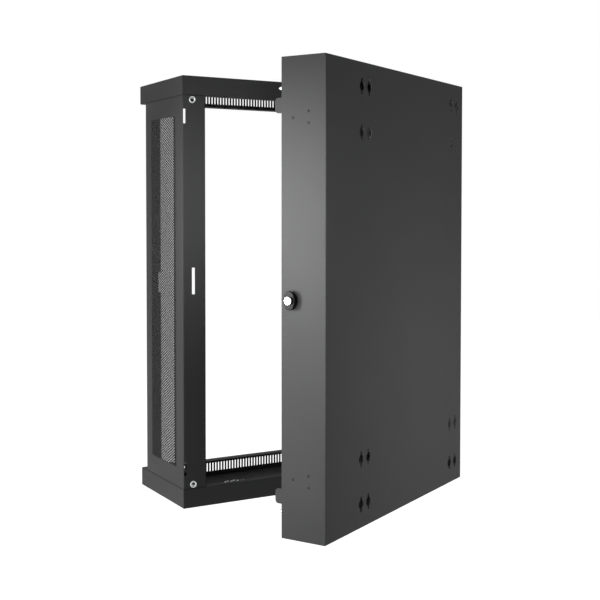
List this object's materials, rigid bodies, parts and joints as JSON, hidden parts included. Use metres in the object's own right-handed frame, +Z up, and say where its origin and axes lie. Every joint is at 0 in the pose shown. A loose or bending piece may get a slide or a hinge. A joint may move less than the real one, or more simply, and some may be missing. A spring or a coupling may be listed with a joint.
{
  "type": "wall mount network cabinet",
  "caption": "Double-section wall mount network cabinet: a keyhole wall section, a main cabinet that swings from it on hinges, perforated sides, and a glazed locking front door.",
  "frame": {"origin": "middle of the wall plate's outer face, level with the main cabinet's middle", "axes": "+Z up, +Y out of the wall plate towards the building wall, the cabinet's front to -Y when it is closed, the hinges on the -X side"},
  "size_m": [1.1157, 0.7334, 0.8925],
  "materials": {
    "powder_coat": "fine matte powder coat, charcoal black",
    "black_fastener": "black zinc plated, satin",
    "zinc": "bright zinc plate",
    "chrome": "polished chrome",
    "lock_black": "semi gloss black coated die casting",
    "black_plastic": "moulded black nylon",
    "rubber": "matte rubber",
    "glass": "lightly tinted tempered glass"
  },
  "bodies": {
    "wall_section": {"wall_pan": "powder_coat", "cable_cover_top": "powder_coat", "cable_cover_bottom": "powder_coat", "cable_cover_screws": "black_fastener", "guide_tab_top": "powder_coat", "guide_tab_bottom": "powder_coat", "guide_tab_rivets": "black_fastener", "locating_pins": "zinc", "rim_bumpers": "rubber", "wall_hinge_leaves": "powder_coat", "hinge_pins": "zinc", "wall_hinge_rivets": "black_fastener", "wall_earth_stud": "zinc", "rear_lock_housing": "lock_black", "rear_lock_nut": "zinc"},
    "rear_lock": {"rear_lock_plug": "chrome", "rear_lock_knob": "lock_black", "rear_lock_cam": "zinc", "rear_lock_cam_nut": "zinc"},
    "main_cabinet": {"top_cap": "powder_coat", "bottom_cap": "powder_coat", "side_frame_lock": "powder_coat", "side_frame_hinge": "powder_coat", "ring_inserts": "zinc", "main_hinge_leaves": "powder_coat", "main_hinge_rivets": "black_fastener", "rack_rail_lock": "powder_coat", "rack_rail_hinge": "powder_coat", "rail_supports_lock": "powder_coat", "rail_supports_hinge": "powder_coat", "rail_bolts": "zinc", "support_rivets": "black_fastener", "cap_screws": "black_fastener", "main_earth_stud": "zinc"},
    "front_door": {"door_frame": "powder_coat", "door_glass": "glass", "glass_clips": "powder_coat", "clip_screws": "black_fastener", "door_hinge_blocks": "black_plastic", "door_hinge_pins": "zinc", "door_lock_housing": "lock_black", "door_lock_nut": "zinc"},
    "door_lock": {"door_lock_plug": "chrome", "door_lock_knob": "lock_black", "door_lock_cam": "zinc", "door_lock_cam_nut": "zinc"}
  },
  "joints": [
    {"name": "main_swing", "type": "hinge", "parent": "wall_section", "child": "main_cabinet", "pos_m": [-0.3045, -0.096, 0], "axis": [0, 0, 1], "range_deg": [-62, 28]},
    {"name": "door_swing", "type": "hinge", "parent": "main_cabinet", "child": "front_door", "pos_m": [-0.39363, -0.29664, 0], "axis": [0, 0, 1], "range_deg": [-20, 105]},
    {"name": "rear_lock_turn", "type": "hinge", "parent": "wall_section", "child": "rear_lock", "pos_m": [0.3, -0.072, 0.004], "axis": [1, 0, 0], "range_deg": [0, 90]},
    {"name": "door_lock_turn", "type": "hinge", "parent": "front_door", "child": "door_lock", "pos_m": [-0.7624, -0.67744, 0], "axis": [0.7314, -0.682, 0], "range_deg": [0, 90]}
  ]
}
